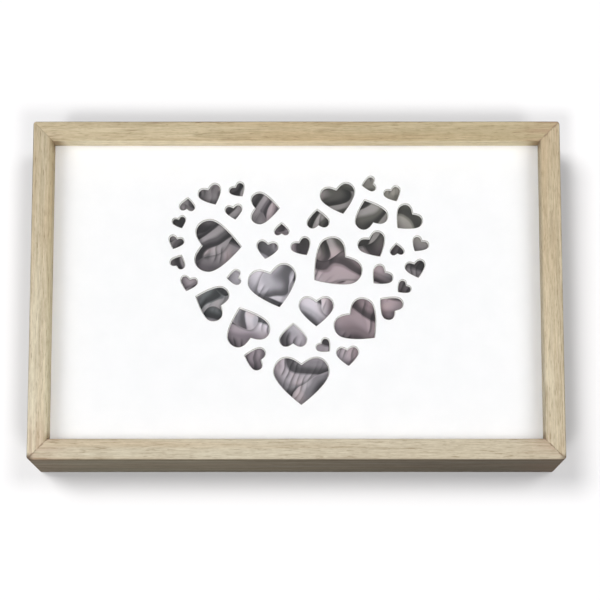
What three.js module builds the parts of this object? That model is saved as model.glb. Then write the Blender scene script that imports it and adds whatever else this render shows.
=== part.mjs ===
// Wooden photo box: four mitred boards stand on edge round a white mat pierced with hearts, with a
// printed picture board close behind the mat and a thin panel closing the back of the hollow.
// Millimetres. The box lies on its back: X runs along its long side, Y towards the top of the
// picture and Z out of the front. The origin is the middle of the rear face.
import * as THREE from 'three';

// Overall size
const BOX_WIDTH = 320;
const BOX_HEIGHT = 207;
const BOX_DEPTH = 65;

// Boards
const BOARD_THICKNESS = 12.5;
const ARRIS_RADIUS = 0.9;
const ARRIS_STEPS = 3;

// Mat and picture board, held together in one groove
const MAT_RECESS = 11;
const MAT_THICKNESS = 3;
const PICTURE_THICKNESS = 2;
const GROOVE_DEPTH = 4.5;

// Back panel in its rebate
const PANEL_THICKNESS = 4;
const PANEL_INSET = 0.7;
const PANEL_CORNER_RADIUS = 1.5;
const REBATE_WIDTH = 7;

// Gap between neighbouring pieces
const CLEARANCE = 0.3;

// Heart openings: the field of hearts keeps this much plain mat above and below it
const FIELD_MARGIN = 19.5;
const DRAWN_REACH = 71.5;
const OUTLINE_CHORD = 4.6;
const FEWEST_STEPS = 4;

// Each heart as drawn: middle x and y, width across the lobes, and turn in degrees
// anticlockwise from a heart that stands on its tip.
const HEARTS = [
  [-52, 60, 14.5, 25],
  [-35.5, 63, 10, 35],
  [-19, 52, 20, 90],
  [-66.5, 54.5, 9.5, 175],
  [-38, 49.5, 10.5, 10],
  [-71, 43, 8.5, 20],
  [-47.5, 28.5, 32.5, 88],
  [-9, 39, 9, 180],
  [-73.5, 30.5, 9.5, -20],
  [-71.5, 19, 9.5, 155],
  [-18, 26, 13, -10],
  [3.5, 27.5, 12.5, 30],
  [-38, 9, 9.5, -85],
  [-65.5, 5, 10.5, -15],
  [-13.5, 3, 29.5, 15],
  [-52, -6, 22, -110],
  [-30.5, -20.5, 26.5, -160],
  [-2, -26.5, 16.5, 180],
  [-25.5, -40.5, 14, -105],
  [3, -54.5, 33.5, 0],
  [26, 57.5, 21.5, 15],
  [44, 67, 9.5, -80],
  [59, 60.5, 10.5, 25],
  [13, 45.5, 13.5, -175],
  [44.5, 49, 20.5, -160],
  [67, 45, 17.5, -45],
  [47, 28.5, 17.5, 30],
  [61, 26.5, 8.5, -175],
  [74.5, 29, 10.5, -35],
  [22, 16, 32.5, -52],
  [51, 9.5, 13.5, -45],
  [72.5, 14, 12.5, 15],
  [64.5, 2.5, 9, -50],
  [12, -12, 21, 0],
  [38.5, -19.5, 28.5, 45],
  [56, -8.5, 15.5, -130],
  [17, -33.5, 9.5, 45],
  [31, -39.5, 13.5, 5],
];

// Levels above the rear face
const matFront = BOX_DEPTH - MAT_RECESS;
const matBack = matFront - MAT_THICKNESS;
const pictureFront = matBack - CLEARANCE;
const pictureBack = pictureFront - PICTURE_THICKNESS;
const grooveTop = matFront + CLEARANCE;
const grooveBottom = pictureBack - CLEARANCE;
const rebateFloor = PANEL_INSET + PANEL_THICKNESS + CLEARANCE;

// Sizes across the opening
const openingWidth = BOX_WIDTH - 2 * BOARD_THICKNESS;
const openingHeight = BOX_HEIGHT - 2 * BOARD_THICKNESS;
const sheetReach = GROOVE_DEPTH - CLEARANCE;
const panelReach = REBATE_WIDTH - CLEARANCE;

const wood = new THREE.MeshStandardMaterial({ color: '#c8b99c', roughness: 0.72, metalness: 0 });
const matBoard = new THREE.MeshStandardMaterial({ color: '#f6f6f4', roughness: 0.9, metalness: 0 });
const print = new THREE.MeshStandardMaterial({ color: '#8d868b', roughness: 0.5, metalness: 0 });
const panelBoard = new THREE.MeshStandardMaterial({ color: '#b39a74', roughness: 0.85, metalness: 0 });

/** Outline of a board's section: x is the distance in from the outer face, y the height. */
function boardSection() {
  const inner = BOARD_THICKNESS;
  const quarter = Math.PI / 2;
  const section = new THREE.Shape();
  section.moveTo(ARRIS_RADIUS, 0);
  section.lineTo(inner - REBATE_WIDTH, 0);
  section.lineTo(inner - REBATE_WIDTH, rebateFloor);
  section.lineTo(inner, rebateFloor);
  section.lineTo(inner, grooveBottom);
  section.lineTo(inner - GROOVE_DEPTH, grooveBottom);
  section.lineTo(inner - GROOVE_DEPTH, grooveTop);
  section.lineTo(inner, grooveTop);
  section.absarc(inner - ARRIS_RADIUS, BOX_DEPTH - ARRIS_RADIUS, ARRIS_RADIUS, 0, quarter);
  section.absarc(ARRIS_RADIUS, BOX_DEPTH - ARRIS_RADIUS, ARRIS_RADIUS, quarter, 2 * quarter);
  section.absarc(ARRIS_RADIUS, ARRIS_RADIUS, ARRIS_RADIUS, 2 * quarter, 3 * quarter);
  return section;
}

/** A board of the given outer length, mitred at both ends, with its outer face towards +Y. */
function mitredBoard(length, outerFace) {
  const geometry = new THREE.ExtrudeGeometry(boardSection(), {
    depth: 1,
    bevelEnabled: false,
    curveSegments: ARRIS_STEPS,
  });
  const position = geometry.attributes.position;
  const mitreGap = (CLEARANCE / 2) * Math.SQRT2;
  for (let i = 0; i < position.count; i += 1) {
    const inwards = position.getX(i);
    const height = position.getY(i);
    const end = position.getZ(i) > 0.5 ? -1 : 1;
    position.setXYZ(i, end * (length / 2 - inwards - mitreGap), outerFace - inwards, height);
  }
  geometry.computeVertexNormals();
  return geometry;
}

/** Half of a unit-wide heart, from the notch round its right lobe to the tip at the bottom. */
function halfHeart(steps) {
  const path = new THREE.CurvePath();
  const notch = new THREE.Vector2(0, 0.305);
  const lobeTop = new THREE.Vector2(0.27, 0.43);
  const widest = new THREE.Vector2(0.5, 0.163);
  const tip = new THREE.Vector2(0, -0.431);
  const leaveNotch = new THREE.Vector2(0.1, 0.375);
  const reachTop = new THREE.Vector2(0.17, 0.43);
  const leaveTop = new THREE.Vector2(0.397, 0.43);
  const reachWidest = new THREE.Vector2(0.5, 0.31);
  const leaveWidest = new THREE.Vector2(0.5, -0.015);
  const reachTip = new THREE.Vector2(0.168, -0.306);
  path.add(new THREE.CubicBezierCurve(notch, leaveNotch, reachTop, lobeTop));
  path.add(new THREE.CubicBezierCurve(lobeTop, leaveTop, reachWidest, widest));
  path.add(new THREE.CubicBezierCurve(widest, leaveWidest, reachTip, tip));
  return path.getPoints(steps);
}

/** Closed outline of one heart at its place on the mat. */
function heartOutline([x, y, width, turn], scale) {
  const steps = Math.max(FEWEST_STEPS, Math.round(width / OUTLINE_CHORD));
  const right = halfHeart(steps);
  const left = right.slice(1, -1).reverse().map((point) => new THREE.Vector2(-point.x, point.y));
  const middle = new THREE.Vector2(x, y).multiplyScalar(scale);
  const centre = new THREE.Vector2();
  return [...right, ...left].map((point) =>
    point.clone().multiplyScalar(width * scale).rotateAround(centre, THREE.MathUtils.degToRad(turn)).add(middle));
}

/** Rectangle centred on the origin, with rounded corners where a radius is given. */
function rectangle(width, height, radius = 0) {
  const shape = new THREE.Shape();
  const right = width / 2 - radius;
  const top = height / 2 - radius;
  const corners = [[right, top], [-right, top], [-right, -top], [right, -top]];
  if (radius === 0) {
    shape.setFromPoints(corners.map(([x, y]) => new THREE.Vector2(x, y)));
    return shape;
  }
  corners.forEach(([x, y], index) => {
    const start = (index * Math.PI) / 2;
    shape.absarc(x, y, radius, start, start + Math.PI / 2);
  });
  return shape;
}

/** A sheet cut to a shape, with its rear face at the given level. */
function sheet(shape, thickness, level) {
  const geometry = new THREE.ExtrudeGeometry(shape, {
    depth: thickness,
    bevelEnabled: false,
    curveSegments: ARRIS_STEPS,
  });
  return geometry.translate(0, 0, level);
}

/** White mat with every heart cut straight through it. */
function heartMat() {
  const shape = rectangle(openingWidth + 2 * sheetReach, openingHeight + 2 * sheetReach);
  const scale = (openingHeight / 2 - FIELD_MARGIN) / DRAWN_REACH;
  HEARTS.forEach((heart) => shape.holes.push(new THREE.Path(heartOutline(heart, scale))));
  return sheet(shape, MAT_THICKNESS, matBack);
}

/** Board that carries the print, the size of the mat. */
function pictureBoard() {
  const shape = rectangle(openingWidth + 2 * sheetReach, openingHeight + 2 * sheetReach);
  return sheet(shape, PICTURE_THICKNESS, pictureBack);
}

/** Thin panel that closes the back, let into the boards' rebate. */
function backPanel() {
  const width = openingWidth + 2 * panelReach;
  const height = openingHeight + 2 * panelReach;
  return sheet(rectangle(width, height, PANEL_CORNER_RADIUS), PANEL_THICKNESS, PANEL_INSET);
}

/** A named mesh. */
function piece(name, geometry, material) {
  const mesh = new THREE.Mesh(geometry, material);
  mesh.name = name;
  return mesh;
}

const box = new THREE.Group();

const SIDES = [
  ['rail_top', BOX_WIDTH, BOX_HEIGHT, 0],
  ['rail_left', BOX_HEIGHT, BOX_WIDTH, 90],
  ['rail_bottom', BOX_WIDTH, BOX_HEIGHT, 180],
  ['rail_right', BOX_HEIGHT, BOX_WIDTH, 270],
];
SIDES.forEach(([name, length, across, turn]) => {
  const rail = piece(name, mitredBoard(length, across / 2), wood);
  rail.rotation.z = THREE.MathUtils.degToRad(turn);
  box.add(rail);
});

box.add(piece('heart_mat', heartMat(), matBoard));
box.add(piece('picture_board', pictureBoard(), print));
box.add(piece('back_panel', backPanel(), panelBoard));

export default box;
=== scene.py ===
"""Looks of a wooden photo box: pale boards round a white mat with heart openings over a soft print."""

from __future__ import annotations

import logging
import math
from dataclasses import dataclass, field
from enum import Enum, IntEnum
from typing import Callable, Iterable, Sequence

import bmesh
import bpy
from mathutils import Matrix, Vector
from mathutils.geometry import tessellate_polygon


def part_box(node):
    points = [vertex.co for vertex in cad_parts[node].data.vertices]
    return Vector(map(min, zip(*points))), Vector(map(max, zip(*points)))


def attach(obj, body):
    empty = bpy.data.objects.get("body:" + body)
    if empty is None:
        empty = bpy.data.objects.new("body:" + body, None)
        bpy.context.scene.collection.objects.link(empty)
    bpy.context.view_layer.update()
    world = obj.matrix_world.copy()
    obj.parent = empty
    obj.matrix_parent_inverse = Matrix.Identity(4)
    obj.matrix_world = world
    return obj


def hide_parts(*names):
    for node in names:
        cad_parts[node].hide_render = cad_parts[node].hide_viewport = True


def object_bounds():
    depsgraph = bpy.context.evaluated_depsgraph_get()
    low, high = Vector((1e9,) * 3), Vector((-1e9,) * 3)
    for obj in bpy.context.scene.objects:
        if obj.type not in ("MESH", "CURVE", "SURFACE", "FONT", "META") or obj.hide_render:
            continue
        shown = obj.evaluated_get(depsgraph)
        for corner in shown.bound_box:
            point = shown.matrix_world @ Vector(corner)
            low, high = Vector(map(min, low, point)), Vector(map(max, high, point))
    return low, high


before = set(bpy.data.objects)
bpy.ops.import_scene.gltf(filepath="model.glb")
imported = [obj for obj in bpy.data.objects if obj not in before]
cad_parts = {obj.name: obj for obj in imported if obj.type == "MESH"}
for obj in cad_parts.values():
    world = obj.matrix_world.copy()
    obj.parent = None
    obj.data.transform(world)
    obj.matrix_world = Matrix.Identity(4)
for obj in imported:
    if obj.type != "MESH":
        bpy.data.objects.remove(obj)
CAD_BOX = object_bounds()
LOG = logging.getLogger("photo_box")

MM = 0.001
BODY = "root"

Colour = tuple[float, float, float]
Socket = bpy.types.NodeSocket


def srgb(red: int, green: int, blue: int) -> Colour:
    """Turn a colour of 0 to 255 as seen on a screen into linear light.

    Args:
        red: Red, 0 to 255.
        green: Green, 0 to 255.
        blue: Blue, 0 to 255.

    Returns:
        The linear colour.
    """

    def linear(value: int) -> float:
        """One channel in linear light."""
        share = value / 255
        return share / 12.92 if share <= 0.04045 else ((share + 0.055) / 1.055) ** 2.4

    return linear(red), linear(green), linear(blue)


class Side(Enum):
    """A side of the box: its name and the turn that brings a board's outer face from +Y to it."""

    TOP = ("top", 0)
    LEFT = ("left", 90)
    BOTTOM = ("bottom", 180)
    RIGHT = ("right", 270)

    @property
    def label(self) -> str:
        """Word for the side."""
        return self.value[0]

    @property
    def turn(self) -> float:
        """Turn about Z, in radians."""
        return math.radians(self.value[1])

    @property
    def node(self) -> str:
        """Name of the board's CAD node."""
        return f"rail_{self.label}"

    @property
    def piece(self) -> str:
        """Name of the board's piece."""
        return f"board_{self.label}"

    @property
    def runs_along_x(self) -> bool:
        """Whether the board lies along the long side of the box."""
        return self in (Side.TOP, Side.BOTTOM)


class Graph:
    """Adds nodes to one node tree, each fed by values or by earlier sockets."""

    MIX_FIRST, MIX_SECOND, MIX_RESULT = 6, 7, 2

    def __init__(self, tree: bpy.types.NodeTree) -> None:
        """Keep the tree that the nodes go into."""
        self.tree = tree

    def add(self, kind: str, inputs: dict | None = None, **settings: object) -> bpy.types.Node:
        """Add one node.

        Args:
            kind: The node's Blender type.
            inputs: Input name or index to a value or a socket.
            **settings: Properties of the node.

        Returns:
            The node.
        """
        node = self.tree.nodes.new(kind)
        for name, value in settings.items():
            setattr(node, name, value)
        for key, value in (inputs or {}).items():
            self.feed(node.inputs[key], value)
        return node

    def feed(self, socket: Socket, value: object) -> None:
        """Link a socket, or set the input's own value.

        Args:
            socket: The input.
            value: A socket, or a value that the input takes.
        """
        if isinstance(value, bpy.types.NodeSocket):
            self.tree.links.new(value, socket)
        elif isinstance(value, tuple) and len(value) == 3 and socket.type == "RGBA":
            socket.default_value = (*value, 1.0)
        else:
            socket.default_value = value

    def math(self, operation: str, *values: object, clamp: bool = False) -> Socket:
        """Value of a Math node fed in order."""
        node = self.add("ShaderNodeMath", dict(enumerate(values)), operation=operation, use_clamp=clamp)
        return node.outputs[0]

    def vector(self, operation: str, *values: object) -> Socket:
        """Vector of a Vector Math node fed in order."""
        return self.add("ShaderNodeVectorMath", dict(enumerate(values)), operation=operation).outputs[0]

    def scaled(self, vector: object, scale: object) -> Socket:
        """Vector times a number."""
        return self.add("ShaderNodeVectorMath", {0: vector, "Scale": scale}, operation="SCALE").outputs[0]

    def length(self, vector: Socket) -> Socket:
        """Length of a vector."""
        return self.add("ShaderNodeVectorMath", {0: vector}, operation="LENGTH").outputs["Value"]

    def split(self, place: Socket) -> bpy.types.NodeOutputs:
        """X, Y and Z of a place, by those names."""
        return self.add("ShaderNodeSeparateXYZ", {0: place}).outputs

    def noise(
        self, place: Socket, scale: float | Socket = 1.0, detail: float = 2.0, rough: float = 0.5
    ) -> Socket:
        """Value of a noise texture, about 0.2 to 0.8 with a middle of 0.5."""
        inputs = {"Vector": place, "Scale": scale, "Detail": detail, "Roughness": rough}
        return self.add("ShaderNodeTexNoise", inputs).outputs["Fac"]

    def ramp(self, value: Socket, start: float, end: float, low: float = 0.0, high: float = 1.0) -> Socket:
        """Step smoothly from one level to another as a value goes from start to end.

        Args:
            value: The value.
            start: Where the step begins, above or below its end.
            end: Where the step ends.
            low: Level at the start.
            high: Level at the end.

        Returns:
            The level.
        """
        inputs = {"Value": value, "From Min": start, "From Max": end, "To Min": low, "To Max": high}
        node = self.add("ShaderNodeMapRange", inputs, interpolation_type="SMOOTHSTEP")
        return node.outputs["Result"]

    def mix(self, share: object, first: object, second: object, blend: str = "MIX") -> Socket:
        """Colour mixed from two."""
        inputs = {"Factor": share, self.MIX_FIRST: first, self.MIX_SECOND: second}
        return self.add("ShaderNodeMix", inputs, data_type="RGBA", blend_type=blend).outputs[self.MIX_RESULT]

    def tint(self, share: object, colour: object, tone: object) -> Socket:
        """Colour multiplied by a tone, as far as the share says."""
        return self.mix(share, colour, tone, blend="MULTIPLY")

    def both(self, first: object, second: object) -> Socket:
        """Product of two values or masks."""
        return self.math("MULTIPLY", first, second)


@dataclass(frozen=True)
class Port:
    """One input or output of a node group."""

    name: str
    kind: str
    default: object = None

    def open_on(self, tree: bpy.types.NodeTree, direction: str) -> None:
        """Make the socket on the group.

        Args:
            tree: The node group.
            direction: INPUT or OUTPUT.
        """
        socket = tree.interface.new_socket(
            name=self.name, in_out=direction, socket_type=f"NodeSocket{self.kind}"
        )
        if self.default is not None:
            socket.default_value = self.default


@dataclass
class EffectGroup:
    """A shader node group that is built once and placed in each material that needs it."""

    name: str
    inputs: Sequence[Port]
    outputs: Sequence[Port]
    wire: Callable[[Graph, Callable[[str], Socket]], dict[str, Socket]]

    def tree(self) -> bpy.types.NodeTree:
        """Build the group's tree on the first call.

        Returns:
            The tree.
        """
        found = bpy.data.node_groups.get(self.name)
        if found is not None:
            return found
        tree = bpy.data.node_groups.new(self.name, "ShaderNodeTree")
        for port in self.inputs:
            port.open_on(tree, "INPUT")
        for port in self.outputs:
            port.open_on(tree, "OUTPUT")
        graph = Graph(tree)
        entry = graph.add("NodeGroupInput")
        made = self.wire(graph, lambda name: entry.outputs[name])
        graph.add("NodeGroupOutput", made)
        return tree

    def place(self, graph: Graph, inputs: dict[str, object]) -> bpy.types.Node:
        """Place the group in a material.

        Args:
            graph: The material's graph.
            inputs: Input name to value or socket.

        Returns:
            The group node.
        """
        return graph.add("ShaderNodeGroup", inputs, node_tree=self.tree())


def wire_board_grain(graph: Graph, given: Callable[[str], Socket]) -> dict[str, Socket]:
    """Pale wood seen along the grain: rings, fibres, pores, short flames, patches and brown flecks.

    Args:
        graph: The group's graph.
        given: Returns the group's input of that name.

    Returns:
        Output name to socket.
    """
    seeded = graph.vector("ADD", given("Place"), graph.scaled((0.73, 0.31, 0.17), given("Seed")))
    own = graph.split(given("Place"))

    def stretched(along: float, across: float, detail: float = 2.0, rough: float = 0.5) -> Socket:
        """Noise drawn out along the board, by its features in a metre along and across."""
        drawn = graph.vector("MULTIPLY", seeded, (along, across, across))
        return graph.noise(drawn, detail=detail, rough=rough)

    def share(value: Socket, amount: float, middle: float = 0.0) -> Socket:
        """How far a value is from its middle, times an amount."""
        return graph.both(graph.math("SUBTRACT", value, middle), amount)

    wander = share(stretched(5, 40, detail=3), 0.016, middle=0.5)
    across = graph.math("POWER", graph.math("SUBTRACT", own["Y"], given("Heart Outward")), 2.0)
    upward = graph.math("POWER", graph.math("SUBTRACT", own["Z"], given("Heart Height")), 2.0)
    reach = graph.math("ADD", graph.math("SQRT", graph.math("ADD", across, upward)), wander)
    ring = graph.math("FRACT", graph.math("DIVIDE", reach, given("Ring Spacing")))
    late = graph.both(graph.ramp(ring, 0.45, 0.95), graph.ramp(ring, 0.95, 1.0, 1.0, 0.0))
    late = graph.both(late, graph.ramp(stretched(14, 120), 0.35, 0.65))
    fibre = stretched(60, 1500, detail=4, rough=0.7)
    strand = stretched(10, 480, detail=4, rough=0.65)
    flame = stretched(210, 640, detail=3, rough=0.6)
    pore = graph.ramp(stretched(150, 1600), 0.58, 0.70)
    patch = graph.ramp(stretched(3, 45), 0.32, 0.68)
    warmth = graph.ramp(stretched(5, 80, detail=3), 0.38, 0.68)
    fleck = graph.ramp(stretched(30, 520, detail=3, rough=0.6), 0.64, 0.76)
    narrow_stripe = graph.ramp(strand, 0.42, 0.60, 0.0, 0.7)
    broad_stripe = graph.ramp(stretched(12, 170, detail=3), 0.46, 0.62, 0.0, 0.9)
    stripe = graph.math("MAXIMUM", narrow_stripe, broad_stripe)
    crest = graph.math("ABSOLUTE", graph.math("SUBTRACT", stretched(13, 130, detail=3), 0.5))
    wave = graph.both(graph.ramp(crest, 0.0, 0.02, 1.0, 0.0), graph.ramp(stretched(7, 34), 0.52, 0.62))

    shade = graph.math("ADD", share(late, 0.24), share(patch, 0.16))
    shade = graph.math("ADD", shade, share(fibre, 1.9, middle=0.41))
    shade = graph.math("ADD", shade, share(strand, 0.7, middle=0.47))
    shade = graph.math("ADD", shade, share(flame, 0.75, middle=0.49))
    shade = graph.math("ADD", shade, share(pore, 0.5), clamp=True)
    colour = graph.mix(shade, given("Light"), given("Dark"))
    colour = graph.tint(share(warmth, 0.5), colour, given("Warm"))
    marks = graph.math("MAXIMUM", fleck, share(wave, 0.7))
    colour = graph.mix(graph.both(marks, given("Fleck Amount")), colour, given("Fleck"))
    height = graph.math("SUBTRACT", share(fibre, 0.5), share(pore, 0.8))
    height = graph.math("SUBTRACT", height, share(late, 0.25))
    rough = graph.math("ADD", 0.60, share(fibre, 0.22))
    return {"Colour": colour, "Roughness": rough, "Height": height, "Stripe": stripe}


BOARD_GRAIN = EffectGroup(
    name="board_grain",
    inputs=(
        Port("Place", "Vector"),
        Port("Seed", "Float", 0.0),
        Port("Ring Spacing", "Float", 0.0042),
        Port("Heart Outward", "Float", 0.0),
        Port("Heart Height", "Float", 0.0),
        Port("Light", "Color"),
        Port("Dark", "Color"),
        Port("Warm", "Color"),
        Port("Fleck", "Color"),
        Port("Fleck Amount", "Float", 0.5),
    ),
    outputs=(
        Port("Colour", "Color"),
        Port("Roughness", "Float"),
        Port("Height", "Float"),
        Port("Stripe", "Float"),
    ),
    wire=wire_board_grain,
)


def wire_paper_tooth(graph: Graph, given: Callable[[str], Socket]) -> dict[str, Socket]:
    """Fine tooth and faint mottling of a pressed sheet.

    Args:
        graph: The group's graph.
        given: Returns the group's input of that name.

    Returns:
        Output name to socket.
    """
    fine = graph.noise(given("Place"), scale=2300.0, detail=3, rough=0.6)
    broad = graph.noise(given("Place"), scale=given("Patches"), detail=3)
    mottle = graph.math("ADD", graph.both(fine, 0.4), graph.both(broad, 0.6))
    share = graph.both(graph.ramp(mottle, 0.35, 0.65), given("Mottle"))
    colour = graph.mix(share, given("Colour"), given("Shade"))
    return {"Colour": colour, "Height": fine}


PAPER_TOOTH = EffectGroup(
    name="paper_tooth",
    inputs=(
        Port("Place", "Vector"),
        Port("Colour", "Color"),
        Port("Shade", "Color"),
        Port("Mottle", "Float", 0.5),
        Port("Patches", "Float", 70.0),
    ),
    outputs=(Port("Colour", "Color"), Port("Height", "Float")),
    wire=wire_paper_tooth,
)


class Finish:
    """What every finish does: makes a material with one Principled BSDF and hands out its graph."""

    name: str

    def shade(self, graph: Graph, bsdf: bpy.types.Node, place: Socket) -> None:
        """Feed the shader; each finish says how.

        Args:
            graph: The material's graph.
            bsdf: The shader.
            place: Place in the piece's own frame.
        """
        raise NotImplementedError

    def material(self) -> bpy.types.Material:
        """Make the material of this finish on the first call.

        Returns:
            The material.
        """
        found = bpy.data.materials.get(self.name)
        if found is not None:
            return found
        material = bpy.data.materials.new(self.name)
        material.use_nodes = True
        graph = Graph(material.node_tree)
        place = graph.add("ShaderNodeTexCoord").outputs["Object"]
        self.shade(graph, material.node_tree.nodes["Principled BSDF"], place)
        return material

    @staticmethod
    def bump(graph: Graph, bsdf: bpy.types.Node, height: Socket, strength: float, distance: float) -> None:
        """Feed the shader's normal from a height.

        Args:
            graph: The material's graph.
            bsdf: The shader.
            height: The height's socket.
            strength: Strength of the bump.
            distance: Depth of the relief in metres.
        """
        inputs = {"Height": height, "Strength": strength, "Distance": distance}
        graph.feed(bsdf.inputs["Normal"], graph.add("ShaderNodeBump", inputs).outputs["Normal"])


@dataclass(frozen=True)
class PaleWood(Finish):
    """Planed, unvarnished pale wood of one board, greyer where its outer face is left as sawn, with painted
    light and shade.
    """

    name: str
    seed: float
    length: float
    outer_face: float
    inner_face: float
    light: Colour = srgb(222, 208, 179)
    dark: Colour = srgb(170, 152, 122)
    warm: Colour = srgb(244, 226, 208)
    fleck: Colour = srgb(136, 106, 82)
    fleck_amount: float = 0.5
    ring_spacing: float = 4.2 * MM
    heart_offset: float = 22.0 * MM
    heart_height: float = 100.0 * MM
    # Tone at the -X end and at the +X end: partly the wood's own, partly painted light, as the side boards
    # are lighter and bluer towards the bottom.
    tones: tuple[Colour, Colour] = ((1.0, 1.0, 1.0), (1.0, 1.0, 1.0))
    sawn_fade: float = 0.7 * MM
    # Tone of the outer face at each end: partly greyer sawn wood, partly painted shade.
    sawn_and_shade_tones: tuple[Colour, Colour] = ((0.78, 0.79, 0.82), (0.78, 0.79, 0.82))
    sawn_stripe: Colour = (0.76, 0.74, 0.71)
    sawn_edge: Colour = (0.74, 0.70, 0.63)
    sawn_edge_drop: float = 1.1 * MM
    # Painted light and shade on the inner wall and on a strip of the front beside it.
    inner_fade: float = 0.5 * MM
    inner_light_and_shade: Colour = (1.0, 1.0, 1.0)
    front: float = 0.0
    end_stain: Colour = srgb(138, 110, 88)
    end_reach: float = 0.6 * MM
    end_flare: float = 2.6
    end_depths: tuple[float, float] = (0.8, 0.8)
    streak: Colour = srgb(176, 138, 114)
    streak_reach: float = 36.0 * MM
    streak_amounts: tuple[float, float] = (0.0, 0.0)
    # Painted shade on the inner wall near the inner corners.
    corner_shade: Colour = (0.62, 0.56, 0.48)
    corner_shade_reach: float = 4.5 * MM
    # Painted shade at the outer front tips; the tip depths put it at the lower corners alone.
    tip_shade: Colour = srgb(88, 70, 56)
    tip_reach: float = 4.8 * MM
    tip_depths: tuple[float, float] = (0.0, 0.0)
    middle_blend: float = 10.0 * MM
    flare_reach: float = 4.0 * MM
    cut_grain: float = 560.0
    streak_grain: tuple[float, float, float] = (16.0, 380.0, 380.0)
    specular: float = 0.35
    relief: float = 0.12 * MM

    def shade(self, graph: Graph, bsdf: bpy.types.Node, place: Socket) -> None:
        """Lay the grain along the board's own X, tone its sides, darken its cut ends and paint light and
        shade on it.

        Args:
            graph: The material's graph.
            bsdf: The shader.
            place: Place in the board's own frame.
        """
        grain = BOARD_GRAIN.place(
            graph,
            {
                "Place": place,
                "Seed": self.seed,
                "Ring Spacing": self.ring_spacing,
                "Heart Outward": self.outer_face - self.heart_offset,
                "Heart Height": self.heart_height,
                "Light": self.light,
                "Dark": self.dark,
                "Warm": self.warm,
                "Fleck": self.fleck,
                "Fleck Amount": self.fleck_amount,
            },
        ).outputs
        own = graph.split(place)
        # Tone along the board, partly painted light.
        along = graph.ramp(own["X"], -0.5 * self.length, 0.5 * self.length)
        colour = graph.tint(1.0, grain["Colour"], graph.mix(along, *self.tones))
        outer, fade = self.outer_face, self.sawn_fade
        sawn = graph.ramp(own["Y"], outer - fade, outer - 0.1 * fade)
        # Outer face darker and greyer: partly sawn wood, partly painted shade.
        colour = graph.tint(sawn, colour, graph.mix(along, *self.sawn_and_shade_tones))
        colour = graph.tint(graph.both(sawn, grain["Stripe"]), colour, self.sawn_stripe)
        drop = self.sawn_edge_drop
        below = graph.math("ABSOLUTE", graph.math("SUBTRACT", own["Z"], self.front - 1.4 * drop))
        edge = graph.both(sawn, graph.ramp(below, drop, 0.4 * drop))
        colour = graph.tint(edge, colour, self.sawn_edge)
        inner_face, fade = self.inner_face, self.inner_fade
        inner = graph.ramp(own["Y"], inner_face + fade, inner_face + 0.15 * fade)
        # Painted light and shade on the inner wall: lighter and bluer on the top board, darker on the
        # others.
        colour = graph.tint(inner, colour, self.inner_light_and_shade)
        to_cut = self.to_cut(graph, own)
        # Painted shade near the inner corners.
        inner_corner_mask = graph.both(inner, graph.ramp(to_cut, self.corner_shade_reach, 0.2 * self.corner_shade_reach))
        colour = graph.tint(inner_corner_mask, colour, self.corner_shade)
        colour = graph.mix(self.end_streaks(graph, place, own), colour, self.streak)
        colour = graph.mix(self.end_mask(graph, own, to_cut), colour, self.end_stain)
        # Painted shade at the lower front tips.
        colour = graph.mix(self.tip_shade_mask(graph, place, own), colour, self.tip_shade)
        graph.feed(bsdf.inputs["Base Color"], colour)
        graph.feed(bsdf.inputs["Roughness"], grain["Roughness"])
        bsdf.inputs["Specular IOR Level"].default_value = self.specular
        self.bump(graph, bsdf, grain["Height"], strength=0.4, distance=self.relief)

    def by_end(self, graph: Graph, own: bpy.types.NodeOutputs, amounts: tuple[float, float]) -> Socket:
        """One amount towards the board's -X end and another towards its +X end."""
        return graph.ramp(own["X"], -self.middle_blend, self.middle_blend, *amounts)

    def to_cut(self, graph: Graph, own: bpy.types.NodeOutputs) -> Socket:
        """Measure how far a place is from the nearer mitre cut.

        Args:
            graph: The material's graph.
            own: Place in the board's own frame, split.

        Returns:
            The distance in metres.
        """
        longest = 0.5 * self.length - self.outer_face
        to_end = graph.math("SUBTRACT", longest, graph.math("ABSOLUTE", own["X"]))
        return graph.both(graph.math("ADD", to_end, own["Y"]), math.sqrt(0.5))

    def end_streaks(self, graph: Graph, place: Socket, own: bpy.types.NodeOutputs) -> Socket:
        """Mask of reddish brown streaks that run in from the ends.

        Args:
            graph: The material's graph.
            place: Place in the board's own frame.
            own: The same place, split.

        Returns:
            The mask, strongest at the ends.
        """
        away = graph.math("ABSOLUTE", own["X"])
        near = graph.ramp(away, 0.5 * self.length - self.streak_reach, 0.5 * self.length)
        drawn = graph.noise(graph.vector("MULTIPLY", place, self.streak_grain), detail=3, rough=0.6)
        lines = graph.both(near, graph.ramp(drawn, 0.40, 0.62))
        return graph.both(lines, self.by_end(graph, own, self.streak_amounts))

    def tip_shade_mask(self, graph: Graph, place: Socket, own: bpy.types.NodeOutputs) -> Socket:
        """Mask of the painted shade at the tips of the outer front corners.

        Args:
            graph: The material's graph.
            place: Place in the board's own frame.
            own: The same place, split.

        Returns:
            The mask, strongest at the tips.
        """
        tip = (0.5 * self.length, self.outer_face, self.front)
        away = graph.length(graph.vector("SUBTRACT", graph.vector("ABSOLUTE", place), tip))
        near = graph.ramp(away, self.tip_reach, 0.3 * self.tip_reach)
        return graph.both(near, self.by_end(graph, own, self.tip_depths))

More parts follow.
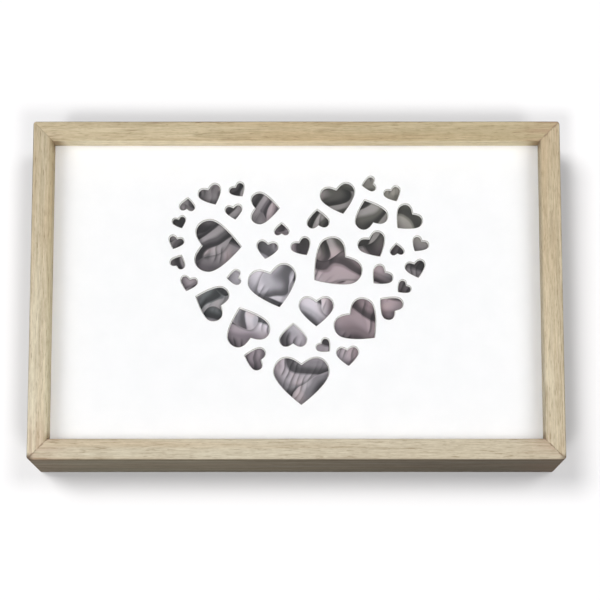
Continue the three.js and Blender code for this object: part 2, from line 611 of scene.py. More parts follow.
    def end_mask(self, graph: Graph, own: bpy.types.NodeOutputs, to_cut: Socket) -> Socket:
        """Mask of the thin dark line where the mitred end drinks in glue and dirt.

        Args:
            graph: The material's graph.
            own: Place in the board's own frame, split.
            to_cut: Distance to the mitre cut.

        Returns:
            The mask, strongest at the cut.
        """
        cut_face = graph.add("ShaderNodeCombineXYZ", {1: own["Y"], 2: own["Z"]}).outputs[0]
        uneven = graph.noise(cut_face, scale=self.cut_grain)
        outer = self.outer_face
        flare = graph.ramp(own["Y"], outer - self.flare_reach, outer, 1.0, self.end_flare)
        reach = graph.both(graph.both(uneven, flare), 2.0 * self.end_reach)
        stain = graph.math("SUBTRACT", 1.0, graph.math("DIVIDE", to_cut, reach, clamp=True))
        depth = graph.both(graph.ramp(uneven, 0.40, 0.62, 0.2), self.by_end(graph, own, self.end_depths))
        return graph.both(stain, depth)


@dataclass(frozen=True)
class Board(Finish):
    """Pressed board or paper of one colour with a fine tooth."""

    name: str
    colour: Colour
    shaded: Colour
    mottle: float = 0.5
    patches: float = 70.0
    roughness: float = 0.9
    specular: float = 0.25
    relief: float = 0.03 * MM

    def shade(self, graph: Graph, bsdf: bpy.types.Node, place: Socket) -> None:
        """Mottle the colour and raise the tooth.

        Args:
            graph: The material's graph.
            bsdf: The shader.
            place: Place in the piece's own frame.
        """
        inputs = {
            "Place": place,
            "Colour": self.colour,
            "Shade": self.shaded,
            "Mottle": self.mottle,
            "Patches": self.patches,
        }
        tooth = PAPER_TOOTH.place(graph, inputs).outputs
        graph.feed(bsdf.inputs["Base Color"], tooth["Colour"])
        bsdf.inputs["Roughness"].default_value = self.roughness
        bsdf.inputs["Specular IOR Level"].default_value = self.specular
        self.bump(graph, bsdf, tooth["Height"], strength=0.2, distance=self.relief)


@dataclass(frozen=True)
class Wash:
    """A broad round area of one colour in the print."""

    x: float
    y: float
    reach: float
    colour: Colour


@dataclass(frozen=True)
class FoldPrint(Finish):
    """A soft print of draped cloth in mauve, lilac grey, charcoal and beige."""

    name: str
    washes: tuple[Wash, ...]
    ground: Colour = srgb(128, 118, 124)
    blush: Colour = srgb(198, 176, 177)
    lit: Colour = (1.55, 1.52, 1.53)
    sheen: Colour = srgb(196, 190, 190)
    deep: Colour = srgb(28, 27, 28)
    roughness: float = 0.42

    def shade(self, graph: Graph, bsdf: bpy.types.Node, place: Socket) -> None:
        """Paint the washes, then the folds of two cloths that lie over each other.

        Args:
            graph: The material's graph.
            bsdf: The shader.
            place: Place in the piece's own frame.
        """
        moved = self.drifted(graph, place, scale=15.0, reach=0.045)
        colour = self.ground
        for wash in self.washes:
            gap = graph.vector("SUBTRACT", moved, (wash.x, wash.y, 0.0))
            away = graph.length(graph.vector("MULTIPLY", gap, (1.0, 1.0, 0.0)))
            colour = graph.mix(graph.ramp(away, wash.reach, 0.5 * wash.reach), colour, wash.colour)
        over = graph.noise(moved, scale=24.0, detail=1.0)
        loose = self.drifted(graph, place, scale=22.0, reach=0.030)
        lower = self.folds(graph, loose, turn=0.45, width=21 * MM)
        tighter = self.drifted(graph, place, scale=30.0, reach=0.022)
        upper = self.folds(graph, tighter, turn=-1.0, width=13 * MM)
        covers = graph.ramp(over, 0.50, 0.512)
        light = graph.add("ShaderNodeMix", {"Factor": covers, "A": lower, "B": upper}).outputs["Result"]
        colour = graph.mix(graph.ramp(light, 0.5, 0.0, 0.0, 0.78), colour, self.deep)
        colour = graph.tint(graph.ramp(light, 0.55, 1.0), colour, self.lit)
        glint = graph.both(graph.ramp(light, 0.6, 1.0, 0.0, 0.42), graph.ramp(over, 0.38, 0.62, 0.3))
        colour = graph.mix(glint, colour, self.sheen)
        gathers = self.drifted(graph, place, scale=48.0, reach=0.009)
        pleats = self.folds(graph, gathers, turn=1.9, width=4.2 * MM)
        gathered = graph.ramp(graph.noise(moved, scale=36.0), 0.50, 0.62)
        crease = graph.both(gathered, graph.ramp(pleats, 0.55, 0.0, 0.0, 0.55))
        colour = graph.mix(crease, colour, self.deep)
        ridge = graph.both(gathered, graph.ramp(pleats, 0.6, 1.0, 0.0, 0.5))
        colour = graph.tint(ridge, colour, self.lit)
        flush = graph.ramp(graph.noise(moved, scale=31.0), 0.52, 0.66, 0.0, 0.38)
        colour = graph.mix(graph.both(flush, graph.ramp(light, 0.4, 0.9)), colour, self.blush)
        under = graph.both(graph.ramp(over, 0.46, 0.50), graph.ramp(over, 0.508, 0.50))
        colour = graph.mix(graph.both(under, 0.45), colour, self.deep)
        graph.feed(bsdf.inputs["Base Color"], colour)
        bsdf.inputs["Roughness"].default_value = self.roughness

    @staticmethod
    def drifted(graph: Graph, place: Socket, scale: float, reach: float) -> Socket:
        """Place pushed about by smooth noise, so that what is drawn from it bends.

        Args:
            graph: The material's graph.
            place: Place in the piece's own frame.
            scale: Bends in a metre.
            reach: Greatest push in metres, roughly.

        Returns:
            The pushed place.
        """
        inputs = {"Vector": place, "Scale": scale, "Detail": 1.5}
        noise = graph.add("ShaderNodeTexNoise", inputs).outputs["Color"]
        push = graph.vector("SUBTRACT", noise, (0.5, 0.5, 0.5))
        return graph.vector("ADD", place, graph.scaled(push, 2 * reach))

    @staticmethod
    def folds(graph: Graph, place: Socket, turn: float, width: float) -> Socket:
        """Light and shade of long folds, each soft on one side and creased on the other.

        Args:
            graph: The material's graph.
            place: Place in the piece's own frame, already bent.
            turn: Direction of the folds in radians.
            width: Distance from fold to fold in metres.

        Returns:
            Light from 0 in a fold's shade to 1 on its crest.
        """
        run = graph.add("ShaderNodeVectorRotate", {"Vector": place, "Angle": turn}, rotation_type="Z_AXIS")
        across = graph.math("ADD", graph.split(run.outputs[0])["Y"], 1.0)
        phase = graph.math("FRACT", graph.math("DIVIDE", across, width))
        return graph.both(graph.ramp(phase, 0.0, 0.72), graph.ramp(phase, 1.0, 0.86))


@dataclass(frozen=True)
class Heart:
    """One heart opening, in millimetres, with its turn in degrees from standing on its tip."""

    x: float
    y: float
    width: float
    turn: float

    def outline(self, steps: int, spread: float = 0.0) -> list[Vector]:
        """Trace the opening.

        Args:
            steps: Points on each of its six curves.
            spread: Distance in metres by which the outline is widened.

        Returns:
            Points in metres, anticlockwise, in the plane of the mat.
        """
        right: list[Vector] = []
        for curve in HEART_CURVES:
            right.extend(bezier(curve, step / steps) for step in range(steps))
        right.append(Vector(TIP))
        shape = [*right, *(Vector((-p.x, p.y)) for p in reversed(right[1:-1]))]
        shape.reverse()
        scale = self.width * MM
        turned = Matrix.Rotation(math.radians(self.turn), 2)
        placed = [turned @ (p * scale) + Vector((self.x, self.y)) * MM for p in shape]
        return widened(placed, spread) if spread else placed


NOTCH = (0.0, 0.305)
LOBE_TOP = (0.27, 0.43)
WIDEST = (0.5, 0.163)
TIP = (0.0, -0.431)
HEART_CURVES = (
    (NOTCH, (0.1, 0.375), (0.17, 0.43), LOBE_TOP),
    (LOBE_TOP, (0.397, 0.43), (0.5, 0.31), WIDEST),
    (WIDEST, (0.5, -0.015), (0.168, -0.306), TIP),
)

HEARTS = tuple(
    Heart(*row)
    for row in (
        (-52, 60, 14.5, 25), (-35.5, 63, 10, 35), (-19, 52, 20, 90), (-66.5, 54.5, 9.5, 175),
        (-38, 49.5, 10.5, 10), (-71, 43, 8.5, 20), (-47.5, 28.5, 32.5, 88), (-9, 39, 9, 180),
        (-73.5, 30.5, 9.5, -20), (-71.5, 19, 9.5, 155), (-18, 26, 13, -10), (3.5, 27.5, 12.5, 30),
        (-38, 9, 9.5, -85), (-65.5, 5, 10.5, -15), (-13.5, 3, 29.5, 15), (-52, -6, 22, -110),
        (-30.5, -20.5, 26.5, -160), (-2, -26.5, 16.5, 180), (-25.5, -40.5, 14, -105), (3, -54.5, 33.5, 0),
        (26, 57.5, 21.5, 15), (44, 67, 9.5, -80), (59, 60.5, 10.5, 25), (13, 45.5, 13.5, -175),
        (44.5, 49, 20.5, -160), (67, 45, 17.5, -45), (47, 28.5, 17.5, 30), (61, 26.5, 8.5, -175),
        (74.5, 29, 10.5, -35), (22, 16, 32.5, -52), (51, 9.5, 13.5, -45), (72.5, 14, 12.5, 15),
        (64.5, 2.5, 9, -50), (12, -12, 21, 0), (38.5, -19.5, 28.5, 45), (56, -8.5, 15.5, -130),
        (17, -33.5, 9.5, 45), (31, -39.5, 13.5, 5),
    )
)


def bezier(curve: Sequence[Sequence[float]], share: float) -> Vector:
    """Find a point of a cubic curve.

    Args:
        curve: The curve's start, its two handles and its end.
        share: Share of the way from start to end.

    Returns:
        The point.
    """
    back = 1 - share
    weights = (back**3, 3 * share * back**2, 3 * share**2 * back, share**3)
    return Vector([sum(w * p[axis] for w, p in zip(weights, curve)) for axis in range(2)])


def widened(loop: Sequence[Vector], spread: float) -> list[Vector]:
    """Move every point of an anticlockwise loop outwards along its own normal.

    Args:
        loop: The loop's points.
        spread: How far they move, in metres.

    Returns:
        The moved points.
    """
    moved = []
    for index, point in enumerate(loop):
        run = (loop[(index + 1) % len(loop)] - loop[index - 1]).normalized()
        moved.append(point + Vector((run.y, -run.x)) * spread)
    return moved


def rectangle(low: Vector, high: Vector, radius: float = 0.0, steps: int = 5) -> list[Vector]:
    """Trace a rectangle anticlockwise, with rounded corners where a radius is given.

    Args:
        low: Lowest corner.
        high: Highest corner.
        radius: Radius of its corners in metres.
        steps: Steps round each rounded corner.

    Returns:
        Its points.
    """
    if radius <= 0:
        corners = ((low.x, low.y), (high.x, low.y), (high.x, high.y), (low.x, high.y))
        return [Vector(corner) for corner in corners]
    centres = (
        (high.x - radius, high.y - radius),
        (low.x + radius, high.y - radius),
        (low.x + radius, low.y + radius),
        (high.x - radius, low.y + radius),
    )
    points = []
    for corner, (x, y) in enumerate(centres):
        for step in range(steps + 1):
            angle = (corner + step / steps) * math.pi / 2
            points.append(Vector((x + radius * math.cos(angle), y + radius * math.sin(angle))))
    return points


@dataclass
class Piece:
    """A mesh gathered as points and faces: near points are welded, and edges above an angle stay sharp."""

    name: str
    points: list[tuple[float, float, float]] = field(default_factory=list)
    faces: list[tuple[int, ...]] = field(default_factory=list)
    marks: list[int] = field(default_factory=list)
    weld: float = 0.001 * MM
    sharp: float = 32.0

    def ring(self, loop: Iterable[Vector], level: float) -> list[int]:
        """Add a loop of points at one level.

        Args:
            loop: The points as seen from above.
            level: Their height in metres.

        Returns:
            Their indices.
        """
        first = len(self.points)
        self.points.extend((p.x, p.y, level) for p in loop)
        return list(range(first, len(self.points)))

    def wall(self, lower: Sequence[int], upper: Sequence[int], mark: int = 0) -> None:
        """Join two rings by quads whose outside lies to the right of the rings' run.

        Args:
            lower: One ring.
            upper: The other, with as many points.
            mark: Material slot of the faces.
        """
        count = len(lower)
        for index in range(count):
            after = (index + 1) % count
            self.faces.append((lower[index], lower[after], upper[after], upper[index]))
            self.marks.append(int(mark))

    def cap(self, rings: Sequence[Sequence[int]], upward: bool, mark: int = 0) -> None:
        """Fill the area between an outer ring and its holes.

        Args:
            rings: The outer ring and then each hole's ring.
            upward: Whether the face looks up.
            mark: Material slot of the face.
        """
        loops = [[Vector(self.points[i]) for i in ring] for ring in rings]
        flat = [i for ring in rings for i in ring]
        for corner in tessellate_polygon(loops):
            a, b, c = (flat[i] for i in corner)
            pa, pb, pc = (Vector(self.points[i]) for i in (a, b, c))
            looks_up = (pb - pa).cross(pc - pa).z > 0
            self.faces.append((a, b, c) if looks_up == upward else (a, c, b))
            self.marks.append(int(mark))

    def build(
        self, finishes: Sequence[Finish], slot: str, replaced: str, place: Matrix | None = None
    ) -> bpy.types.Object:
        """Make the object, dress it, and hand it to the frame.

        Args:
            finishes: Finishes in the order of the faces' marks.
            slot: Not used.
            replaced: CAD node that this piece stands for.
            place: The object's place; the frame's own if none.

        Returns:
            The object.
        """
        mesh = bpy.data.meshes.new(self.name)
        mesh.from_pydata(self.points, [], self.faces)
        mesh.polygons.foreach_set("material_index", self.marks)
        made = bmesh.new()
        made.from_mesh(mesh)
        bmesh.ops.remove_doubles(made, verts=made.verts, dist=self.weld)
        bmesh.ops.recalc_face_normals(made, faces=made.faces)
        made.to_mesh(mesh)
        made.free()
        mesh.shade_smooth()
        mesh.set_sharp_from_angle(angle=math.radians(self.sharp))
        for finish in finishes:
            mesh.materials.append(finish.material())
        thing = bpy.data.objects.new(self.name, mesh)
        if place is not None:
            thing.matrix_world = place
        bpy.context.scene.collection.objects.link(thing)
        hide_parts(replaced)
        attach(thing, BODY)
        return thing


@dataclass
class EdgeBoard:
    """One mitred board on edge, with its groove and rebate, in its own frame with +Y outwards."""

    side: Side
    seed: float
    arris: float = 1.0 * MM
    arris_wobble: float = 0.16 * MM
    arris_phases: tuple[float, float, float] = (0.0, 1.7, 4.1)
    arris_waves: tuple[tuple[float, float, float], ...] = ((0.6, 41.0, 1.0), (0.4, 97.0, 2.3))
    seed_phase: float = 3.1
    arris_steps: int = 6
    inner_arris: float = 0.8
    outer_levels: tuple[float, float, float] = (0.75, 0.5, 0.25)
    corner: float = 2.0 * MM
    corner_stations: tuple[float, ...] = (1.0, 0.8, 0.6, 0.43)
    mitre_gap: float = 0.07 * MM
    station_step: float = 5.0 * MM

    def __post_init__(self) -> None:
        """Read the board's sizes from the frame."""
        along, across = (0, 1) if self.side.runs_along_x else (1, 0)
        low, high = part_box(self.side.node)
        lowest, highest = CAD_BOX
        mat_low, mat_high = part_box("heart_mat")
        picture_low, picture_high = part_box("picture_board")
        _, panel_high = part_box("back_panel")
        clear = mat_low.z - picture_high.z
        self.depth = highest.z - lowest.z
        self.thickness = (high - low)[across]
        self.length = highest[along] - lowest[along]
        self.outer = highest[across]
        self.groove_low = picture_low.z - clear
        self.groove_high = mat_high.z + clear
        self.groove_floor = self.outer - mat_high[across] - clear
        self.rebate_floor = panel_high.z + clear
        self.rebate_wall = self.outer - panel_high[across] - clear

    def wobble(self, along: float, phase: float) -> float:
        """Find the slow unevenness of a hand-sanded arris.

        Each of its waves has a size, a pitch in radians a metre, and a spread of its start.

        Args:
            along: Place along the board in metres from its middle.
            phase: The arris's own start.

        Returns:
            The unevenness, from -1 to 1.
        """
        start = self.seed * self.seed_phase + phase
        waves = (size * math.sin(along * pitch + spread * start) for size, pitch, spread in self.arris_waves)
        return sum(waves)

    def section(self, along: float) -> list[tuple[float, float]]:
        """Section at a place along the board.

        Args:
            along: Place along the board in metres from its middle.

        Returns:
            Points as distance in from the outer face and height, clockwise seen from +X.
        """

        def arc(middle: tuple[float, float], radius: float, start: float) -> list[tuple[float, float]]:
            """Quarter of a circle from an angle in degrees."""
            angles = [math.radians(start + 90 * s / self.arris_steps) for s in range(self.arris_steps + 1)]
            return [(middle[0] + radius * math.cos(a), middle[1] + radius * math.sin(a)) for a in angles]

        inner, top = self.thickness, self.depth
        inside, outside, rear = (
            self.arris + self.arris_wobble * self.wobble(along, phase) for phase in self.arris_phases
        )
        inside *= self.inner_arris
        points = [
            (self.rebate_wall, 0.0),
            (self.rebate_wall, self.rebate_floor),
            (inner, self.rebate_floor),
            (inner, self.groove_low),
            (self.groove_floor, self.groove_low),
            (self.groove_floor, self.groove_high),
            (inner, self.groove_high),
        ]
        points += arc((inner - inside, top - inside), inside, 0)
        points += arc((outside, top - outside), outside, 90)
        points += [(0.0, top * level) for level in self.outer_levels]
        points += arc((rear, rear), rear, 180)
        return points

    def stations(self) -> list[float]:
        """Space the sections along the board, closer at its corners.

        Returns:
            Their places as shares of the half length, from -1 to 1.
        """
        half = self.length / 2
        near_corner = [1 - self.corner * share / half for share in self.corner_stations]
        count = int((self.length - 2 * self.corner) / self.station_step)
        inside = [near_corner[0] * (2 * step / count - 1) for step in range(1, count)]
        return [-1.0, *(-s for s in reversed(near_corner)), *inside, *near_corner, 1.0]

    def put(self, share: float, inwards: float) -> tuple[float, float]:
        """Place a point of a section, with the box's upright corner eased.

        Args:
            share: The section's place as a share of the half length.
            inwards: The point's distance in from the outer face.

        Returns:
            Its place along the board, and its distance in from the outer face.
        """
        half = self.length / 2 - self.mitre_gap
        radius = self.corner
        if abs(share) == 1.0:
            inset = max(inwards, radius * (1 - math.sqrt(0.5)))
            return math.copysign(half - inset, share), inset
        along = abs(share) * (half - inwards)
        short = max(radius - (half - along), 0.0)
        bite = radius - math.sqrt(max(radius**2 - short**2, 0.0))
        return math.copysign(along, share), max(inwards, bite)

    def build(self, finish: PaleWood) -> bpy.types.Object:
        """Make the board.

        Args:
            finish: Its wood.

        Returns:
            The piece.
        """
        piece = Piece(self.side.piece)
        rings = []
        for share in self.stations():
            ring = []
            for inwards, height in self.section(share * self.length / 2):
                along, inset = self.put(share, inwards)
                ring.append(len(piece.points))
                piece.points.append((along, self.outer - inset, height))
            rings.append(ring)
        for first, second in zip(rings, rings[1:]):
            piece.wall(first, second)
        for ring in (rings[0], rings[-1]):
            loop = [Vector((piece.points[i][1], piece.points[i][2], 0.0)) for i in ring]
            for corner in tessellate_polygon([loop]):
                piece.faces.append(tuple(ring[i] for i in corner))
                piece.marks.append(0)
        place = Matrix.Rotation(self.side.turn, 4, "Z")
        return piece.build([finish], "rail_wood", self.side.node, place)


@dataclass
class BoardFrame:
    """The four boards."""

    seeds: dict[Side, float] = field(
        default_factory=lambda: {Side.TOP: 1.0, Side.LEFT: 2.6, Side.BOTTOM: 4.3, Side.RIGHT: 5.9}
    )

    def finish(self, side: Side, board: EdgeBoard) -> PaleWood:
        """Wood of one board, a little different from its neighbours.

        Args:
            side: The board's side.
            board: The board.

        Returns:
            The finish.
        """
        own = {
            Side.TOP: {
                "light": srgb(212, 196, 163),
                "dark": srgb(158, 140, 106),
                "tones": ((1.01, 1.01, 1.01), (0.90, 0.88, 0.82)),
                "fleck_amount": 0.6,
                # Painted light on the top board's inner wall.
                "inner_light_and_shade": (1.18, 1.27, 1.38),
                "end_depths": (0.2, 0.8),
                "corner_shade": (0.52, 0.45, 0.36),
                "corner_shade_reach": 6.5 * MM,
                "streak_amounts": (0.1, 0.5),
            },
            Side.LEFT: {
                "tones": ((1.12, 1.18, 1.26), (0.85, 0.85, 0.83)),
                "fleck_amount": 0.25,
                "inner_fade": 3.6 * MM,
                "inner_light_and_shade": (0.79, 0.77, 0.69),
                "end_depths": (0.95, 0.2),
                "streak_amounts": (0.35, 0.0),
                "tip_depths": (0.85, 0.0),
            },
            Side.BOTTOM: {
                "tones": ((0.93, 0.94, 0.97), (0.97, 1.02, 1.09)),
                # Painted shade: the lower board's outer side is darker towards its right end.
                "sawn_and_shade_tones": ((0.60, 0.58, 0.59), (0.91, 0.88, 0.85)),
                "sawn_edge": (0.70, 0.64, 0.56),
                "sawn_edge_drop": 2.4 * MM,
                "fleck_amount": 0.4,
                "inner_fade": 0.9 * MM,
                "inner_light_and_shade": (0.82, 0.80, 0.80),
                "end_depths": (0.95, 0.9),
                "streak_amounts": (0.45, 0.4),
                "tip_depths": (0.6, 0.85),
            },
            Side.RIGHT: {
                "tones": ((0.87, 0.86, 0.83), (1.02, 1.03, 1.04)),
                "fleck_amount": 0.35,
                "inner_fade": 1.5 * MM,
                "inner_light_and_shade": (0.80, 0.81, 0.83),
                "end_depths": (0.8, 0.95),
                "streak_amounts": (0.1, 0.2),
                "tip_depths": (0.0, 0.6),
            },
        }
        sizes = {
            "length": board.length,
            "outer_face": board.outer,
            "inner_face": board.outer - board.thickness,
            "front": board.depth,
        }
        return PaleWood(f"pale_wood_{side.label}", self.seeds[side], **sizes, **own[side])

    def build(self) -> list[bpy.types.Object]:
        """Make the four boards.

        Returns:
            The pieces, from the top board anticlockwise.
        """
        boards = [EdgeBoard(side, seed) for side, seed in self.seeds.items()]
        return [board.build(self.finish(board.side, board)) for board in boards]


class MatPart(IntEnum):
    """Part of the mat's surface, numbered as its finish is."""

    FACE = 0
    CORE = 1
    LIP = 2
    # Painted shade at the foot of each cut.
    FOOT_SHADE = 3


@dataclass
class HeartMat:
    """The white mat with its heart openings."""

    steps_small: int = 7
    steps_large: int = 14
    large_from: float = 16.0
    lip_width: float = 0.25 * MM
    lip_drop: float = 0.20 * MM
    undercut: float = 0.31 * MM
    # Painted shade along the foot of each cut, where the mat meets the print.
    foot_shade_lean: float = 0.85
    foot_shade_height: float = 0.35 * MM
    colour: Colour = srgb(250, 249, 248)

    def build(self) -> bpy.types.Object:
        """Make the mat.

        Returns:
            The piece.
        """
        low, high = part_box("heart_mat")
        piece = Piece("mat")
        outline = rectangle(low, high)
        bottom = piece.ring(outline, low.z)
        top = piece.ring(outline, high.z)
        piece.wall(bottom, top, MatPart.CORE)
        bottom_rings, top_rings = [bottom], [top]
        for heart in HEARTS:
            steps = self.steps_large if heart.width > self.large_from else self.steps_small
            levels = (
                (self.lip_width, high.z),
                (0.0, high.z - self.lip_drop),
                (-self.foot_shade_lean * self.undercut, low.z + self.foot_shade_height),
                (-self.undercut, low.z),
            )
            rings = [piece.ring(heart.outline(steps, spread), level) for spread, level in levels]
            for upper, lower, part in zip(rings, rings[1:], (MatPart.LIP, MatPart.CORE, MatPart.FOOT_SHADE)):
                piece.wall(upper, lower, part)
            bottom_rings.append(rings[-1])
            top_rings.append(rings[0])
        piece.cap(bottom_rings, upward=False, mark=MatPart.FACE)
        piece.cap(top_rings, upward=True, mark=MatPart.FACE)
        core = (srgb(246, 246, 243), srgb(236, 235, 230))
        finishes = {
            MatPart.FACE: Board("mat_white", self.colour, srgb(243, 243, 242), mottle=0.35),
            MatPart.CORE: Board("mat_core", *core, mottle=0.6, relief=0.06 * MM),
            # Painted shade: the grey of the lip stands for the shade on the eased edge of each opening.
            MatPart.LIP: Board("mat_lip_shade", srgb(180, 176, 167), srgb(152, 145, 132), mottle=0.7),
            # Painted shade at the foot of each cut.
            MatPart.FOOT_SHADE: Board("mat_foot_shade", srgb(112, 104, 94), srgb(84, 76, 66), mottle=0.8),
        }
        return piece.build([finishes[part] for part in MatPart], "mat_board", "heart_mat")


@dataclass
class Picture:
    """The print on its board, close behind the mat."""

    corner: float = 0.6 * MM
    washes: tuple[Wash, ...] = (
        Wash(-0.060, 0.050, 0.060, srgb(88, 84, 86)),
        Wash(0.038, 0.062, 0.048, srgb(80, 78, 74)),
        Wash(0.060, 0.050, 0.022, srgb(122, 120, 112)),
        Wash(0.070, 0.012, 0.036, srgb(92, 88, 90)),
        Wash(0.024, 0.018, 0.030, srgb(142, 128, 131)),
        Wash(-0.016, 0.004, 0.044, srgb(176, 172, 178)),
        Wash(0.042, -0.020, 0.028, srgb(122, 108, 112)),
        Wash(0.004, -0.054, 0.036, srgb(128, 124, 128)),
        Wash(-0.052, -0.010, 0.020, srgb(98, 101, 102)),
    )

    def build(self) -> bpy.types.Object:
        """Make the picture board.

        Returns:
            The piece.
        """
        low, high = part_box("picture_board")
        piece = Piece("picture")
        outline = rectangle(low, high, self.corner)
        bottom = piece.ring(outline, low.z)
        top = piece.ring(outline, high.z)
        piece.wall(bottom, top, 1)
        piece.cap([bottom], upward=False, mark=1)
        piece.cap([top], upward=True, mark=0)
        picture = FoldPrint("fold_print", washes=self.washes)
        backing = Board("picture_backing", srgb(196, 184, 160), srgb(176, 162, 138))
        return piece.build([picture, backing], "picture_print", "picture_board")


@dataclass
class BackPanel:
    """The thin panel that closes the rear of the box."""

    corner: float = 1.5 * MM
    eased: float = 0.5 * MM

    def build(self) -> bpy.types.Object:
        """Make the panel.

        Returns:
            The piece.
        """
        low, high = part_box("back_panel")
        inset = Vector((self.eased, self.eased, 0.0))
        piece = Piece("panel")
        rim = rectangle(low, high, self.corner)
        rear = piece.ring(rectangle(low + inset, high - inset, self.corner - self.eased), low.z)
        lower = piece.ring(rim, low.z + self.eased)
        upper = piece.ring(rim, high.z)
        piece.wall(rear, lower)
        piece.wall(lower, upper)
        piece.cap([rear], upward=False)
        piece.cap([upper], upward=True)
        tones = (srgb(172, 145, 108), srgb(132, 104, 72))
        pressed = Board("pressed_wood", *tones, mottle=0.8, patches=330.0, relief=0.1 * MM)
        return piece.build([pressed], "panel_board", "back_panel")


class Lit(Enum):
    """What a lamp lights."""

    BOX = "box"
    ALL_BUT_LOWER_BOARD = "all but the lower board"
    LOWER_BOARD = "lower board"
    FLOOR = "floor"


@dataclass(frozen=True)
class SoftLamp:
    """A far, wide lamp: its leans from overhead and its width in degrees, and its strength."""

    name: str
    lit: Lit
    to_right: float
    to_top: float
    strength: float
    width: float

    def hang(self, group: bpy.types.Collection) -> None:
        """Hang the lamp so that it lights a group of objects alone.

        Args:
            group: The objects that it lights, which alone cast its shadows unless they are the floor.
        """
        data = bpy.data.lights.new(self.name, "SUN")
        data.energy = self.strength
        data.angle = math.radians(self.width)
        lamp = bpy.data.objects.new(self.name, data)
        lamp.rotation_euler = (math.radians(-self.to_top), math.radians(self.to_right), 0.0)
        lamp.light_linking.receiver_collection = group
        if self.lit is not Lit.FLOOR:
            lamp.light_linking.blocker_collection = group
        bpy.context.scene.collection.objects.link(lamp)


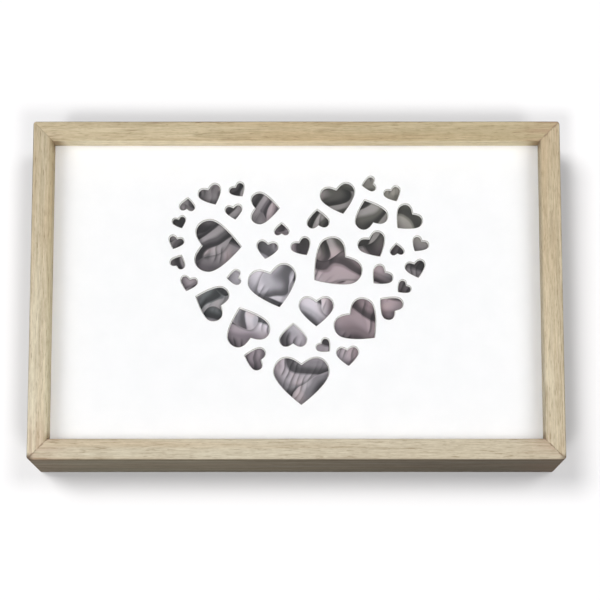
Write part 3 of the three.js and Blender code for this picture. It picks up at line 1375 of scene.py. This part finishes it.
@dataclass
class Studio:
    """Pale floor under its own lamps, soft light over the box, and the camera of the photograph."""

    floor_size: float = 30.0
    floor_gap: float = 0.02 * MM
    floor_colour: Colour = (0.604, 0.596, 0.595)
    floor_bounce: Colour = (0.195, 0.195, 0.195)
    fill: float = 0.17
    fill_colour: Colour = (0.90, 0.97, 1.09)
    backdrop: float = 0.97
    lamps: tuple[SoftLamp, ...] = (
        SoftLamp("left_lamp", Lit.BOX, to_right=-39.0, to_top=-3.0, strength=1.46, width=42.0),
        SoftLamp("right_lamp", Lit.BOX, to_right=39.0, to_top=-3.0, strength=1.46, width=42.0),
        SoftLamp("low_lamp", Lit.ALL_BUT_LOWER_BOARD, to_right=0.0, to_top=-66.0, strength=1.15, width=30.0),
        SoftLamp("lower_board_lamp", Lit.LOWER_BOARD, to_right=0.0, to_top=8.0, strength=0.45, width=30.0),
        SoftLamp("floor_lamp_a", Lit.FLOOR, to_right=-17.9, to_top=9.5, strength=2.22, width=16.8),
        SoftLamp("floor_lamp_b", Lit.FLOOR, to_right=15.8, to_top=7.1, strength=1.00, width=12.4),
        SoftLamp("floor_lamp_c", Lit.FLOOR, to_right=-13.1, to_top=-20.7, strength=1.07, width=8.1),
        SoftLamp("floor_lamp_d", Lit.FLOOR, to_right=14.4, to_top=-21.7, strength=0.93, width=9.9),
    )
    camera_x: float = 3.3 * MM
    camera_y: float = -261.0 * MM
    camera_above: float = 1300.0 * MM
    camera_tilt: float = 9.8
    camera_pan: float = 0.05
    camera_shift: float = 0.08
    lens: float = 132.5
    sensor: float = 36.0

    def floor(self) -> bpy.types.Object:
        """Lay the floor under the box.

        Returns:
            The floor.
        """
        half = self.floor_size / 2
        mesh = bpy.data.meshes.new("floor")
        corners = [(-half, -half, 0), (half, -half, 0), (half, half, 0), (-half, half, 0)]
        mesh.from_pydata(corners, [], [(0, 1, 2, 3)])
        floor = bpy.data.objects.new("floor", mesh)
        material = bpy.data.materials.new("floor_white")
        material.use_nodes = True
        graph = Graph(material.node_tree)
        shader = material.node_tree.nodes["Principled BSDF"]
        seen = graph.add("ShaderNodeLightPath").outputs["Is Camera Ray"]
        graph.feed(shader.inputs["Base Color"], graph.mix(seen, self.floor_bounce, self.floor_colour))
        shader.inputs["Roughness"].default_value = 1.0
        shader.inputs["Specular IOR Level"].default_value = 0.0
        mesh.materials.append(material)
        floor.location.z = CAD_BOX[0].z - self.floor_gap
        bpy.context.scene.collection.objects.link(floor)
        return floor

    def world(self) -> None:
        """Fill the room with even light and give the camera a white backdrop."""
        world = bpy.data.worlds.new("studio")
        world.use_nodes = True
        graph = Graph(world.node_tree)
        ground = world.node_tree.nodes["Background"]
        out = world.node_tree.nodes["World Output"]
        graph.feed(ground.inputs["Color"], self.fill_colour)
        graph.feed(ground.inputs["Strength"], self.fill)
        seen = graph.add("ShaderNodeBackground", {"Color": (1.0, 1.0, 1.0), "Strength": self.backdrop})
        ray = graph.add("ShaderNodeLightPath").outputs["Is Camera Ray"]
        chosen = graph.add("ShaderNodeMixShader", {0: ray, 1: ground.outputs[0], 2: seen.outputs[0]})
        graph.feed(out.inputs["Surface"], chosen.outputs[0])
        bpy.context.scene.world = world
        bpy.context.scene.view_settings.view_transform = "Standard"

    def lights(self, pieces: Sequence[bpy.types.Object], floor: bpy.types.Object) -> None:
        """Hang every lamp over the things that it lights.

        Args:
            pieces: Pieces of the box.
            floor: The floor.
        """
        lower = [piece for piece in pieces if piece.name == Side.BOTTOM.piece]
        things = {
            Lit.BOX: pieces,
            Lit.ALL_BUT_LOWER_BOARD: [piece for piece in pieces if piece not in lower],
            Lit.LOWER_BOARD: lower,
            Lit.FLOOR: [floor],
        }
        groups = {}
        for lit, lit_things in things.items():
            groups[lit] = bpy.data.collections.new(f"lit_{lit.name.lower()}")
            for thing in lit_things:
                groups[lit].objects.link(thing)
        for lamp in self.lamps:
            lamp.hang(groups[lamp.lit])

    def camera(self) -> None:
        """Set the camera looking down on the box."""
        data = bpy.data.cameras.new("camera")
        data.lens = self.lens
        data.sensor_width = self.sensor
        data.shift_y = self.camera_shift
        camera = bpy.data.objects.new("camera", data)
        camera.location = (self.camera_x, self.camera_y, CAD_BOX[1].z + self.camera_above)
        camera.rotation_euler = (math.radians(self.camera_tilt), math.radians(self.camera_pan), 0.0)
        bpy.context.scene.collection.objects.link(camera)
        bpy.context.scene.camera = camera

    def build(self, pieces: Sequence[bpy.types.Object]) -> None:
        """Make the floor, the light and the camera.

        Args:
            pieces: Pieces of the box.
        """
        floor = self.floor()
        self.world()
        self.lights(pieces, floor)
        self.camera()


def main() -> None:
    """Build every piece of the box and the studio round it."""
    logging.basicConfig(level=logging.INFO, format="%(name)s: %(message)s")
    pieces = [*BoardFrame().build(), HeartMat().build(), Picture().build(), BackPanel().build()]
    for piece in pieces:
        LOG.info("%s: %d faces", piece.name, len(piece.data.polygons))
    Studio().build(pieces)


if __name__ == "__main__":
    main()
